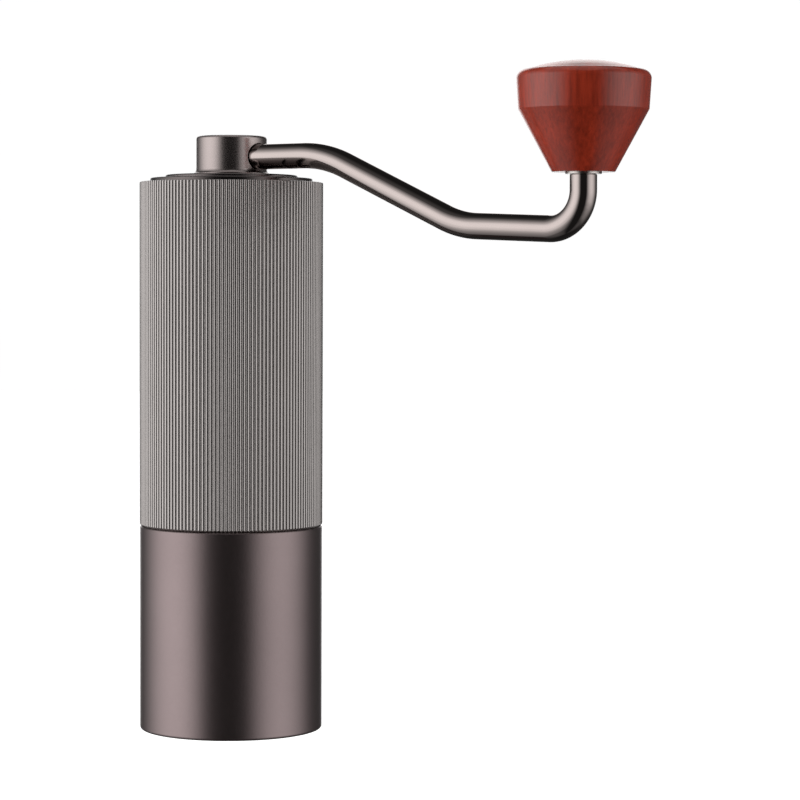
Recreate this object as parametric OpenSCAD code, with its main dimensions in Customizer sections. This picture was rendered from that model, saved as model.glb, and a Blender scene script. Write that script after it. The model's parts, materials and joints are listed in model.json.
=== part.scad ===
// Hand crank coffee grinder with a conical burr set, a lift-off lid and a screw-on catch cup.
// Millimetres, +Z up, origin at the centre of the cup's base, crank arm along +X.

/* [Body] */
// Diameter over the flutes of the grip body
body_d = 52; // [52:0.5:56]
// Height of the body's rim above the table
rim_z = 155.5; // [154:0.5:170]
// Height of the seam between the body and the cup
seam_z = 58; // [56:0.5:60]
// Number of straight flutes round the body
flute_count = 144; // [96:12:156]
// Depth of a flute
flute_depth = 0.45; // [0.2:0.05:0.5]
// Bore of the bean hopper
hopper_d = 40.5; // [38:0.5:41]

/* [Catch cup] */
// How much slimmer the cup is than the body
cup_step = 0.2; // [0:0.1:0.6]
// Thickness of the cup's floor
cup_floor = 3; // [2:0.5:5]
// Rounding of the cup's foot
cup_foot_r = 0.8; // [0.4:0.1:1.5]

/* [Lid] */
// Diameter of the lid's flange
lid_d = 46; // [45.6:0.2:46.4]
// Height that the flange stands above the rim
lid_proud = 1.1; // [0.6:0.1:1.4]
// Diameter of the raised disc on the lid
lid_disc_d = 37.5; // [30:0.5:41]

/* [Crank] */
// Diameter of the hub
hub_d = 20; // [18:0.5:22]
// Diameter of the crank rod
arm_d = 7.2; // [6.6:0.1:7.6]
// Reach of the crank, from the body's axis to the knob's pin
crank_reach = 118.8; // [112:0.2:126]
// Drop of the rod from the hub to its outer straight
crank_drop = 21.25; // [18:0.25:24]

/* [Knob] */
// Largest diameter of the knob
knob_d = 35; // [32:0.5:38]
// Diameter of the knob's underside
knob_foot_d = 16.5; // [15:0.5:18]
// Height of the knob
knob_h = 28.9; // [28:0.1:31]

/* [Burrs] */
// Outside diameter of the burr set
burr_d = 38; // [37:0.5:38]
// Large diameter of the conical burr
cone_d = 30; // [29:0.5:30]
// Radial gap between the burrs at the rest setting
burr_gap = 0.5; // [0.4:0.05:0.7]
// Coarse channels on the conical burr
cone_channels = 7; // [5:1:8]
// Fine teeth on the conical burr
cone_teeth = 28; // [20:2:32]

/* [Drive] */
// Diameter of the drive shaft, the bore of its bearings
shaft_d = 8; // [8:8]
// Width across flats of the shaft's hexagons
hex_af = 7; // [6.8:0.1:7]
// Pitch of the grind setting thread
dial_pitch = 1; // [0.75:0.25:1.25]
// Clicks in one turn of the dial
dial_clicks = 12; // [8:2:16]

/* [Hidden] */

$fn = 96;
eps = 0.01;

// Clearances
press_gap = 0.02;
run_gap = 0.05;
loose_gap = 0.3;

// Body, from the rim down
edge_chamfer = 0.3;
rim_bore_d = lid_d + 0.4;
lid_seat_z = rim_z - 1.2;
plug_bore_d = 45;
top_ledge_z = rim_z - 18.5;
lower_bore_d = 43;
low_ledge_z = seam_z + 30;
neck_z = seam_z - 10;
neck_root_d = 46.6;
neck_root_h = 4;
neck_ridge_d = 46.2;
neck_core_d = 45.4;
neck_root_slope_h = 0.5;
neck_pitch = 2;
neck_ridges = 3;
neck_ridge_at = 0.3;
crest_phase = 0.22;

// Ball bearings, 8 x 16 x 5
bearing_od = 16;
bearing_w = 5;
bearing_inner_d = 10.4;
bearing_outer_d = 13.6;
ball_d = 2;
ball_count = 9;
ball_path_r = 6;
race_gap = 0.04;
top_bearing_z = top_ledge_z + 2;
low_bearing_z = low_ledge_z - 8;

// Brackets
bracket_hub_d = 20;
bracket_arm_w = 4;
bracket_arms = 3;
bracket_turn = 90;
bracket_lip_d = 12.6;
bracket_lip_t = 1;
bracket_overlap = 2;
top_ring_h = 5;
low_ring_h = 12;

// Burr stack, from the seam
cone_z = seam_z - 8;
cone_h = 22;
cone_top_d = 16;
cone_slope = (cone_d - cone_top_d) / 2 / cone_h;
cone_lean = atan(cone_slope);
burr_h = 20;
waist_h = 10;
mouth_d = 32.4;
carrier_h = 26;
carrier_mouth_d = 36;
screw_d = 2.5;
screw_count = 3;
screw_turn = 30;
screw_z = cone_z + burr_h / 2 + 2;
screw_socket_af = 1.4;
screw_socket_h = 1.2;
tooth_size = 0.9;
tooth_lean = 18;
tooth_z = 3;
tooth_l = 13;
channel_d = 6.4;
channel_out = 1.4;
channel_z = 17;
channel_l = 19;
channel_lean = 28;
scoop_d = 4.2;
scoop_l = 16;
key_slots = 4;
key_slot_w = 3;
key_slot_h = 1;
spring_r = 4.85;
spring_wire_d = 0.7;
spring_gap = 0.02;

// Shaft
shaft_fit_d = shaft_d - press_gap;
shaft_low_z = cone_z - 15;
shaft_top_z = rim_z + 1;
top_hex_z = rim_z - 9.5;
low_hex_z = cone_z - 2;
low_hex_h = 26.5;
wire_sides = 8;
clip_groove_d = 7.2;
clip_t = 1;
clip_mouth_w = 2.4;
thread_relief = 0.04;
spring_washer_t = 0.8;

// Dial and its click stops
click_washer_t = 1.4;
click_washer_d = 22;
dial_top_z = cone_z - click_washer_t;
dial_h = 10.6;
dial_d = 26;
dial_recess_d = 8.6;
dial_recess_h = 2.2;
click_path_r = 8;
click_ball_d = 2.4;
click_count = 3;
click_dent = 0.8;
click_hole_h = 6.6;
click_spring_r = 0.8;
click_wire_d = 0.3;
scallop_d = 4;
scallop_out = 1.2;
scallop_short = 2;

// Lid and hub
lid_top_z = rim_z + lid_proud;
disc_h = 0.9;
disc_top_z = lid_top_z + disc_h;
plug_d = plug_bore_d - 2 * loose_gap;
plug_low_z = rim_z - 8.7;
plug_skirt_id = 38;
boss_d = 22;
boss_low_z = rim_z - 5.5;
bush_od = 17;
lid_seal_d = 1.8;
lid_seal_groove_h = 2.2;
disc_edge = 0.5;
lid_seal_z = rim_z - 4.5;
hub_foot_z = disc_top_z + 0.1;
hub_foot_h = 1.4;
hub_foot_d = hub_d + 1.8;
hub_top_z = hub_foot_z + 10.9;
hub_edge_r = 0.6;
stem_d = 14;
stem_low_z = rim_z - 9;
socket_d = 11;
arm_mouth_step = 0.65;
arm_mouth_h = 1.6;
grub_d = 4;
grub_l = 5.6;
grub_socket_h = 2.2;
grub_socket_af = 2;
stem_clip_at = 1.6;
washer_d = 18;
washer_t = 0.7;
arm_z = hub_foot_z + 4.9;
arm_root_x = -6.5;

// Rod: corners of its centreline in the XZ plane, and the bend at each
arm_low_z = arm_z - crank_drop;
arm_corners = [
    [arm_root_x, arm_z],
    [crank_reach * 0.2855, arm_z],
    [crank_reach * 0.671, arm_low_z + 1.45],
    [crank_reach, arm_low_z]
];
arm_bend_r = [37, 30, 10];
arm_sides = 32;
bend_step = 4;
pin_z = arm_low_z + 14.35;
pin_d = 6;
pin_top_z = pin_z + 20.9;
pin_hole_d = 3;
pin_hole_h = 8;

// Knob, from its underside
knob_z = pin_z + 0.6;
knob_band_z = 16.8;
knob_edge_r = 2.3;
knob_dome_h = 2.5;
knob_edge_z = knob_h - knob_dome_h - knob_edge_r;
knob_cone_d = knob_d - 1;
sleeve_od = 9.6;
knob_recess_d = 10.4;
knob_cap_z = knob_z + knob_h - 4.3;
knob_seat_h = 0.3;
sleeve_proud = 0.5;
knob_washer_d = 9;
knob_washer_t = 0.8;
knob_head_d = 5.5;
knob_head_h = 2;
knob_screw_l = 7.5;

// Cup
cup_d = body_d - cup_step;
cup_bore_d = 46.9;
cup_top_z = seam_z - 0.1;
cup_seal_d = 1.2;
seal_gap = 0.03;
cup_seal_id = neck_root_d + 2 * seal_gap;
cup_seal_z = seam_z - 1.6;
cup_groove_h = 1.6;
cup_thread_d = cup_bore_d + 0.8;
cup_thread_at = 0.5;
cup_thread_h = 0.8;
cup_groove_d = cup_seal_id + 2 * cup_seal_d + 2 * seal_gap;

// Colours
gunmetal = "#6f6865";
dark_steel = "#5b5654";
bright_steel = "#b9bcbf";
bearing_steel = "#a9adb0";
brass_tint = "#b08d57";
red_wood = "#8c3a28";
black_rubber = "#222222";
white_plastic = "#d8d6cf";

// Tube between two heights
module tube(d_out, d_in, z_lo, z_hi) {
    translate([0, 0, z_lo])
        difference() {
            cylinder(d = d_out, h = z_hi - z_lo);
            translate([0, 0, -eps]) cylinder(d = d_in, h = z_hi - z_lo + 2 * eps);
        }
}

// Solid disc between two heights
module disc(d, z_lo, z_hi) {
    translate([0, 0, z_lo]) cylinder(d = d, h = z_hi - z_lo);
}

// Hexagonal bar between two heights
module hex_bar(across_flats, z_lo, z_hi) {
    translate([0, 0, z_lo]) cylinder(d = across_flats / cos(30), h = z_hi - z_lo, $fn = 6);
}

// Round ring of round section
module o_ring(mean_r, section_d, z) {
    translate([0, 0, z]) rotate_extrude() translate([mean_r, 0]) circle(d = section_d);
}

// Copies of a shape round the axis
module around(count, start = 0) {
    for (i = [0:count - 1]) rotate([0, 0, start + i * 360 / count]) children();
}

// Disc with a chamfer on its top and bottom edge
module chamfered_disc(d, z_lo, z_hi, low_c, high_c) {
    rotate_extrude()
        polygon([
            [0, z_lo], [d / 2 - low_c, z_lo], [d / 2, z_lo + low_c],
            [d / 2, z_hi - high_c], [d / 2 - high_c, z_hi], [0, z_hi]
        ]);
}

// Disc with its lower edge rounded
module round_foot_disc(d, z_lo, z_hi, edge_r) {
    disc(d - 2 * edge_r, z_lo, z_lo + 2 * edge_r);
    o_ring(d / 2 - edge_r, 2 * edge_r, z_lo + edge_r);
    disc(d, z_lo + edge_r, z_hi);
}

// Points of the fluted outline: flat crests with a V between each pair
function flute_points(r) = [
    for (i = [0:flute_count - 1], p = [[0, -crest_phase], [0, crest_phase], [flute_depth, 0.5]])
        let (a = (i + p[1]) * 360 / flute_count)
        [(r - p[0]) * cos(a), (r - p[0]) * sin(a)]
];

// Points of the neck's outline, a row of thread ridges under a plain root
function neck_points() = concat(
    [[0, neck_z], [neck_core_d / 2, neck_z]],
    [
        for (i = [0:neck_ridges - 1], p = [[0, 0], [1, 0.4], [1, 0.8], [0, 1.2]])
            [
                (neck_core_d + p[0] * (neck_ridge_d - neck_core_d)) / 2,
                neck_z + neck_ridge_at + i * neck_pitch + p[1]
            ]
    ],
    [
        [neck_core_d / 2, seam_z - neck_root_h],
        [neck_root_d / 2, seam_z - neck_root_h + neck_root_slope_h],
        [neck_root_d / 2, seam_z + edge_chamfer],
        [0, seam_z + edge_chamfer]
    ]
);

module grip_body() color(gunmetal) {
    difference() {
        union() {
            intersection() {
                translate([0, 0, seam_z]) linear_extrude(rim_z - seam_z) polygon(flute_points(body_d / 2));
                chamfered_disc(body_d + eps, seam_z, rim_z, edge_chamfer + flute_depth / 2, edge_chamfer);
            }
            rotate_extrude() polygon(neck_points());
        }
        disc(hopper_d, neck_z - eps, rim_z + eps);
        disc(lower_bore_d, neck_z - eps, low_ledge_z);
        disc(plug_bore_d, top_ledge_z, rim_z + eps);
        disc(rim_bore_d, lid_seat_z, rim_z + eps);
    }
}

// Ring, hub and three arms that hold a bearing across the bore
module bearing_bracket(ring_d, ring_id, ring_lo, ring_hi, hub_lo, hub_hi, seat_lo, seat_hi) {
    arm_l = (ring_id - bracket_hub_d) / 2 + bracket_overlap + 1;
    difference() {
        union() {
            tube(ring_d, ring_id, ring_lo, ring_hi);
            disc(bracket_hub_d, hub_lo, hub_hi);
            around(bracket_arms, bracket_turn)
                translate([bracket_hub_d / 2 - bracket_overlap, -bracket_arm_w / 2, ring_lo])
                    cube([arm_l, bracket_arm_w, ring_hi - ring_lo]);
        }
        disc(bracket_lip_d, hub_lo - eps, hub_hi + eps);
        disc(bearing_od, seat_lo, seat_hi);
    }
}

module top_bracket() color(dark_steel)
    bearing_bracket(
        plug_bore_d - press_gap, hopper_d, top_ledge_z, top_ledge_z + top_ring_h,
        top_ledge_z, top_bearing_z + bearing_w + bracket_lip_t,
        top_bearing_z, top_bearing_z + bearing_w + 2 * bracket_lip_t
    );

module bottom_bracket() color(dark_steel)
    bearing_bracket(
        lower_bore_d - press_gap, burr_d, low_ledge_z - low_ring_h, low_ledge_z,
        low_bearing_z - bracket_lip_t / 2, low_ledge_z,
        low_bearing_z - bracket_lip_t, low_bearing_z + bearing_w
    );

// Groove that the balls of a bearing run in
module ball_race(z_lo) {
    o_ring(ball_path_r, ball_d + 2 * race_gap, z_lo + bearing_w / 2);
}

module bearing_outer(z_lo) {
    difference() {
        tube(bearing_od - press_gap, bearing_outer_d, z_lo, z_lo + bearing_w);
        ball_race(z_lo);
    }
}

module bearing_inner(z_lo) {
    difference() {
        tube(bearing_inner_d, shaft_d, z_lo, z_lo + bearing_w);
        ball_race(z_lo);
    }
}

module bearing_balls(z_lo) {
    around(ball_count) translate([ball_path_r, 0, z_lo + bearing_w / 2]) sphere(d = ball_d, $fn = 32);
}

module bearing_cage(z_lo) {
    difference() {
        tube(2 * ball_path_r + 1, 2 * ball_path_r - 1, z_lo + bearing_w / 2 + 0.3, z_lo + bearing_w - 0.6);
        around(ball_count)
            translate([ball_path_r, 0, z_lo + bearing_w / 2]) sphere(d = ball_d + 2 * race_gap, $fn = 32);
    }
}

module top_bearing_outer() color(bearing_steel) bearing_outer(top_bearing_z);
module top_bearing_inner() color(bearing_steel) bearing_inner(top_bearing_z);
module top_bearing_balls() color(bright_steel) bearing_balls(top_bearing_z);
module top_bearing_cage() color(brass_tint) bearing_cage(top_bearing_z);
module bottom_bearing_outer() color(bearing_steel) bearing_outer(low_bearing_z);
module bottom_bearing_inner() color(bearing_steel) bearing_inner(low_bearing_z);
module bottom_bearing_balls() color(bright_steel) bearing_balls(low_bearing_z);
module bottom_bearing_cage() color(brass_tint) bearing_cage(low_bearing_z);

// Three radial screw positions, from one radius to another
module radial_screws(r_in, r_out, d) {
    around(screw_count, screw_turn)
        translate([r_in, 0, screw_z]) rotate([0, 90, 0]) cylinder(d = d, h = r_out - r_in);
}

module burr_carrier() color(dark_steel) {
    difference() {
        disc(lower_bore_d - press_gap, cone_z, cone_z + carrier_h);
        disc(burr_d, cone_z - eps, cone_z + burr_h);
        disc(carrier_mouth_d, cone_z, cone_z + carrier_h + eps);
        radial_screws(burr_d / 2 - 2, lower_bore_d / 2 + 1, screw_d);
    }
}

module burr_screws() color(bright_steel) {
    difference() {
        radial_screws(burr_d / 2 - 0.8, lower_bore_d / 2 - 0.3, screw_d - press_gap);
        around(screw_count, screw_turn)
            translate([lower_bore_d / 2 - loose_gap - screw_socket_h, 0, screw_z])
                rotate([0, 90, 0]) cylinder(d = screw_socket_af, h = 2 * screw_socket_h, $fn = 6);
    }
}

// Square bar laid along the conical burr's flank, leaning round the axis
module tooth_cutter(r, z, size, length, lean) {
    translate([r, 0, z])
        rotate([0, -cone_lean, 0]) rotate([lean, 0, 0]) rotate([0, 0, 45])
            cube([size, size, length], center = true);
}

// Radius of the conical burr's flank at a height above its base
function cone_r(h) = cone_d / 2 - h * cone_slope;

module outer_burr() color(bright_steel) {
    waist_r = cone_r(waist_h) + burr_gap + 0.1;
    difference() {
        rotate_extrude()
            polygon([
                [cone_d / 2 + burr_gap, cone_z], [burr_d / 2 - press_gap / 2, cone_z],
                [burr_d / 2 - press_gap / 2, cone_z + burr_h], [mouth_d / 2, cone_z + burr_h],
                [waist_r, cone_z + waist_h + 1], [waist_r, cone_z + waist_h]
            ]);
        around(cone_teeth + 4)
            tooth_cutter(
                cone_r(tooth_z + 1) + burr_gap + 0.1, cone_z + tooth_z + 1, tooth_size, tooth_l + 1, tooth_lean
            );
        around(cone_channels + 3)
            translate([mouth_d / 2 + 0.6, 0, cone_z + burr_h]) rotate([-24, 20, 0])
                cylinder(d = scoop_d, h = scoop_l, center = true);
        radial_screws(burr_d / 2 - 0.9, burr_d / 2 + 1, screw_d);
    }
}

module inner_burr() color(bright_steel) {
    difference() {
        translate([0, 0, cone_z]) cylinder(d1 = cone_d, d2 = cone_top_d, h = cone_h);
        around(cone_teeth) tooth_cutter(cone_r(tooth_z), cone_z + tooth_z, tooth_size, tooth_l, -tooth_lean);
        around(cone_channels)
            translate([cone_r(channel_z) + channel_out, 0, cone_z + channel_z])
                rotate([0, -cone_lean, 0]) rotate([channel_lean, 0, 0])
                    cylinder(d = channel_d, h = channel_l, center = true);
        hex_bar(hex_af + 2 * run_gap, cone_z - eps, cone_z + cone_h + eps);
    }
}

module carrier_ring() color(dark_steel) {
    ring_lo = neck_z + 0.2;
    difference() {
        tube(lower_bore_d - press_gap, burr_d - 1, ring_lo, cone_z);
        around(key_slots)
            translate([burr_d / 2 - 1, -key_slot_w / 2, ring_lo - eps]) cube([1.8, key_slot_w, key_slot_h]);
    }
}

module lid() color(gunmetal) {
    difference() {
        union() {
            chamfered_disc(lid_disc_d, lid_seat_z, disc_top_z, edge_chamfer, disc_edge);
            chamfered_disc(lid_d, lid_seat_z, lid_top_z, edge_chamfer, edge_chamfer);
            tube(plug_d, plug_skirt_id, plug_low_z, lid_seat_z + eps);
            disc(boss_d, boss_low_z, lid_seat_z + eps);
        }
        disc(bush_od, boss_low_z - eps, disc_top_z + eps);
        translate([0, 0, lid_seal_z - lid_seal_groove_h / 2])
            tube(plug_d + 1, plug_d - 2 * lid_seal_d + 0.4, 0, lid_seal_groove_h);
    }
}

module lid_bush() color(white_plastic)
    tube(bush_od - press_gap, stem_d + 2 * run_gap, boss_low_z, hub_foot_z);

module lid_seal() color(black_rubber)
    o_ring(plug_bore_d / 2 - lid_seal_d / 2 - seal_gap, lid_seal_d, lid_seal_z);

module crank_hub() color(gunmetal) {
    body_lo = hub_foot_z + hub_foot_h;
    difference() {
        union() {
            translate([0, 0, hub_foot_z]) cylinder(d1 = hub_foot_d, d2 = hub_d, h = hub_foot_h);
            disc(hub_d, body_lo, hub_top_z - hub_edge_r);
            disc(hub_d - 2 * hub_edge_r, body_lo, hub_top_z);
            o_ring(hub_d / 2 - hub_edge_r, 2 * hub_edge_r, hub_top_z - hub_edge_r);
            disc(stem_d, stem_low_z, hub_foot_z + eps);
        }
        translate([arm_root_x, 0, arm_z]) rotate([0, 90, 0]) cylinder(d = arm_d + press_gap, h = hub_d);
        translate([hub_d / 2 - arm_mouth_h, 0, arm_z])
            rotate([0, 90, 0]) cylinder(d = arm_d + arm_mouth_step, h = 2 * arm_mouth_h);
        translate([0, 0, arm_z]) rotate([-90, 0, 0]) cylinder(d = grub_d, h = hub_d);
        disc(socket_d, stem_low_z - eps, hub_foot_z - 0.1);
        translate([0, 0, stem_low_z + stem_clip_at]) tube(stem_d + 1, stem_d - 1, 0, clip_t);
    }
}

module drive_socket() color(bright_steel) {
    difference() {
        disc(socket_d - press_gap, stem_low_z, hub_foot_z - 0.2);
        hex_bar(hex_af + 2 * run_gap, stem_low_z - eps, hub_foot_z);
    }
}

module arm_grub_screw() color(bright_steel) {
    difference() {
        translate([0, arm_d / 2, arm_z]) rotate([-90, 0, 0]) cylinder(d = grub_d - press_gap, h = grub_l);
        translate([0, arm_d / 2 + grub_l - grub_socket_h, arm_z])
            rotate([-90, 0, 0]) hex_bar(grub_socket_af, 0, 2 * grub_socket_h);
    }
}

module hub_washer() color(bright_steel)
    tube(washer_d, stem_d + 2 * run_gap, boss_low_z - 0.1 - washer_t, boss_low_z - 0.1);

// Open retaining ring in a groove
module circlip(d_in, d_out, z_lo) {
    difference() {
        tube(d_out, d_in, z_lo, z_lo + clip_t - run_gap);
        translate([0, -clip_mouth_w / 2, z_lo - eps]) cube([d_out, clip_mouth_w, clip_t + 1]);
    }
}

module hub_circlip() color(dark_steel)
    circlip(stem_d - 1 + press_gap, stem_d + 2.6, stem_low_z + stem_clip_at);

module shaft_circlip() color(dark_steel)
    circlip(clip_groove_d + press_gap, bearing_inner_d, top_bearing_z + bearing_w);

// Unit vector along a heading in the XZ plane, and the one to its left
function along(a) = [cos(a), sin(a)];
function left_of(a) = [-sin(a), cos(a)];

// Heading of each straight of the rod, measured from +X in the XZ plane
function arm_heading(i) =
    i == 3 ? 90
    : atan2(arm_corners[i + 1][1] - arm_corners[i][1], arm_corners[i + 1][0] - arm_corners[i][0]);

// Stations of the rod's centreline round the bend at a corner, as [point, heading]
function bend_stations(i) =
    let (
        h0 = arm_heading(i - 1),
        turn = arm_heading(i) - h0,
        reach = (turn > 0 ? 1 : -1) * arm_bend_r[i - 1],
        steps = ceil(abs(turn) / bend_step),
        start = arm_corners[i] - abs(reach) * tan(abs(turn) / 2) * along(h0),
        centre = start + reach * left_of(h0)
    )
    [for (s = [0:steps]) let (a = h0 + turn * s / steps) [centre - reach * left_of(a), a]];

// Points of a ring of the rod round a station
function arm_ring(station) = [
    for (k = [0:arm_sides - 1])
        let (t = k * 360 / arm_sides, p = station[0] + arm_d / 2 * cos(t) * left_of(station[1]))
        [p[0], arm_d / 2 * sin(t), p[1]]
];

// Solid swept through rings of the same number of points
module swept_rings(rings, sides) {
    last = len(rings) - 1;
    quads = [
        for (s = [0:last - 1], k = [0:sides - 1])
            let (a = s * sides, b = a + sides, n = (k + 1) % sides)
            [a + k, a + n, b + n, b + k]
    ];
    polyhedron(
        [for (ring = rings) each ring],
        concat([[for (k = [sides - 1:-1:0]) k]], quads, [[for (k = [0:sides - 1]) last * sides + k]])
    );
}

module crank_arm() color(bright_steel) {
    stations = concat(
        [[arm_corners[0], arm_heading(0)]],
        bend_stations(1), bend_stations(2), bend_stations(3),
        [[[crank_reach, pin_z], 90]]
    );
    difference() {
        union() {
            swept_rings([for (s = stations) arm_ring(s)], arm_sides);
            translate([crank_reach, 0, pin_z - 1]) cylinder(d = pin_d, h = pin_top_z - pin_z + 1);
        }
        translate([crank_reach, 0, pin_top_z - pin_hole_h]) cylinder(d = pin_hole_d, h = pin_hole_h + 1);
    }
}

module knob_washer() color(bright_steel)
    translate([crank_reach, 0, pin_top_z]) tube(knob_washer_d, pin_hole_d + 0.2, 0, knob_washer_t);

module knob_screw() color(bright_steel)
    translate([crank_reach, 0, pin_top_z])
        difference() {
            union() {
                disc(pin_hole_d - press_gap, -knob_screw_l, knob_washer_t);
                disc(knob_head_d, knob_washer_t, knob_washer_t + knob_head_h);
            }
            hex_bar(grub_socket_af, 2 * knob_washer_t, knob_washer_t + knob_head_h + 0.2);
        }

// Points of the knob's outline: cone, band, rounded edge and shallow dome
function knob_points() =
    let (
        dome_r0 = knob_d / 2 - knob_edge_r,
        dome_z0 = knob_h - knob_dome_h,
        dome_ball = (dome_r0 * dome_r0 + knob_dome_h * knob_dome_h) / 2 / knob_dome_h,
        dome_a = asin(dome_r0 / dome_ball)
    )
    concat(
        [[0, 0], [knob_foot_d / 2, 0], [knob_cone_d / 2, knob_band_z], [knob_d / 2, knob_edge_z]],
        [
            for (a = [15:15:75])
                [dome_r0 + knob_edge_r * cos(a), knob_edge_z + knob_edge_r * sin(a)]
        ],
        [
            for (k = [10:-1:0])
                let (a = dome_a * k / 10)
                [dome_ball * sin(a), knob_h - dome_ball * (1 - cos(a))]
        ]
    );

module knob_blank() {
    translate([crank_reach, 0, knob_z]) rotate_extrude() polygon(knob_points());
}

module knob() color(red_wood) {
    difference() {
        knob_blank();
        translate([crank_reach, 0, knob_z - eps]) cylinder(d = sleeve_od, h = pin_top_z - knob_z);
        translate([crank_reach, 0, pin_top_z - knob_seat_h]) cylinder(d = knob_recess_d, h = knob_h);
    }
}

module knob_cap() color(red_wood) {
    intersection() {
        knob_blank();
        translate([crank_reach, 0, knob_cap_z]) cylinder(d = knob_recess_d - press_gap, h = knob_h);
    }
}

module knob_sleeve() color(bright_steel)
    translate([crank_reach, 0, 0])
        tube(sleeve_od - press_gap, pin_d + 2 * run_gap, knob_z - sleeve_proud, pin_top_z - knob_seat_h);

module drive_shaft() color(bright_steel) {
    difference() {
        union() {
            intersection() {
                disc(shaft_fit_d, top_hex_z, shaft_top_z);
                hex_bar(hex_af, top_hex_z - eps, shaft_top_z + eps);
            }
            disc(shaft_fit_d, low_hex_z + low_hex_h, top_hex_z);
            intersection() {
                disc(shaft_fit_d, low_hex_z, low_hex_z + low_hex_h);
                hex_bar(hex_af, low_hex_z - eps, low_hex_z + low_hex_h + eps);
            }
            disc(hex_af - 1, shaft_low_z, low_hex_z);
            for (z = [shaft_low_z + 0.5:dial_pitch:low_hex_z - dial_pitch])
                translate([0, 0, z])
                    cylinder(d1 = hex_af - 1, d2 = hex_af - thread_relief, h = dial_pitch / 2);
        }
        translate([0, 0, top_bearing_z + bearing_w])
            tube(shaft_d + 1, clip_groove_d, 0, clip_t);
    }
}

module spring_washer() color(bright_steel)
    tube(bearing_inner_d, shaft_d, low_bearing_z - spring_washer_t, low_bearing_z);

// Points of one ring of a spring's wire, at turn t of the coil
function wire_ring(t, mean_r, wire_r, z_lo, rise) = [
    for (k = [0:wire_sides - 1])
        let (c = k * 360 / wire_sides, r = mean_r + wire_r * cos(c))
        [r * cos(t * 360), r * sin(t * 360), z_lo + rise * t + wire_r * sin(c)]
];

// Coil spring swept along a helix
module coil_spring(mean_r, wire_d, z_lo, z_hi, turns, steps) {
    rise = (z_hi - z_lo - wire_d) / turns;
    swept_rings(
        [for (s = [0:turns * steps]) wire_ring(s / steps, mean_r, wire_d / 2, z_lo + wire_d / 2, rise)],
        wire_sides
    );
}

module burr_spring() color(bright_steel)
    coil_spring(
        spring_r, spring_wire_d,
        cone_z + cone_h + spring_gap, low_bearing_z - spring_washer_t - spring_gap, 4, 20
    );

module click_washer() color(bright_steel) {
    difference() {
        disc(click_washer_d, dial_top_z, cone_z);
        hex_bar(hex_af + 2 * run_gap, dial_top_z - eps, cone_z + eps);
        around(dial_clicks)
            translate([click_path_r, 0, dial_top_z - click_dent]) sphere(d = click_ball_d, $fn = 32);
    }
}

module adjust_dial() color(dark_steel) {
    difference() {
        chamfered_disc(dial_d, dial_top_z - dial_h, dial_top_z, 0.6, 0.4);
        disc(hex_af + run_gap + eps, dial_top_z - dial_h - eps, dial_top_z + eps);
        disc(dial_recess_d, dial_top_z - dial_recess_h, dial_top_z + eps);
        around(dial_clicks)
            translate([dial_d / 2 + scallop_out, 0, dial_top_z - dial_h - eps])
                cylinder(d = scallop_d, h = dial_h - scallop_short);
        around(click_count)
            translate([click_path_r, 0, dial_top_z - click_hole_h])
                cylinder(d = click_ball_d + 2 * run_gap, h = click_hole_h + 1);
    }
}

module click_balls() color(bright_steel)
    around(click_count)
        translate([click_path_r, 0, dial_top_z - click_ball_d / 2 - spring_gap])
            sphere(d = click_ball_d, $fn = 32);

module click_springs() color(bright_steel)
    around(click_count)
        translate([click_path_r, 0, 0])
            coil_spring(
                click_spring_r, click_wire_d,
                dial_top_z - click_hole_h + run_gap, dial_top_z - click_ball_d - 2 * run_gap, 4, 12
            );

module cup_seal() color(black_rubber)
    o_ring(cup_seal_id / 2 + cup_seal_d / 2, cup_seal_d, cup_seal_z);

module catch_cup() color(dark_steel) {
    difference() {
        union() {
            round_foot_disc(cup_d, 0, seam_z - 2, cup_foot_r);
            chamfered_disc(cup_d, seam_z - 3, cup_top_z, 0, edge_chamfer);
        }
        disc(cup_bore_d, cup_floor, seam_z);
        translate([0, 0, cup_seal_z - cup_groove_h / 2]) tube(cup_groove_d, cup_bore_d - 1, 0, cup_groove_h);
        for (i = [0:neck_ridges - 1])
            translate([0, 0, neck_z + i * neck_pitch + cup_thread_at])
                tube(cup_thread_d, cup_bore_d - 1, 0, cup_thread_h);
    }
}

grip_body();
top_bracket();
top_bearing_outer();
bottom_bracket();
bottom_bearing_outer();
burr_carrier();
outer_burr();
burr_screws();
carrier_ring();
top_bearing_balls();
top_bearing_cage();
bottom_bearing_balls();
bottom_bearing_cage();
lid();
lid_bush();
lid_seal();
crank_hub();
crank_arm();
drive_socket();
arm_grub_screw();
hub_washer();
hub_circlip();
knob_washer();
knob_screw();
knob();
knob_sleeve();
knob_cap();
drive_shaft();
top_bearing_inner();
bottom_bearing_inner();
shaft_circlip();
spring_washer();
burr_spring();
inner_burr();
click_washer();
adjust_dial();
click_balls();
click_springs();
cup_seal();
catch_cup();
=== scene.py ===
"""Looks for a hand crank coffee grinder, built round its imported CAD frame.

Laid out as a Blender add-on and run as a script. Sizes are in metres in the frame's own axes: +Z up,
the crank arm along +X, the origin under the cup.
"""

import json
import math

import bmesh
import bpy
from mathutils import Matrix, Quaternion, Vector


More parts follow.
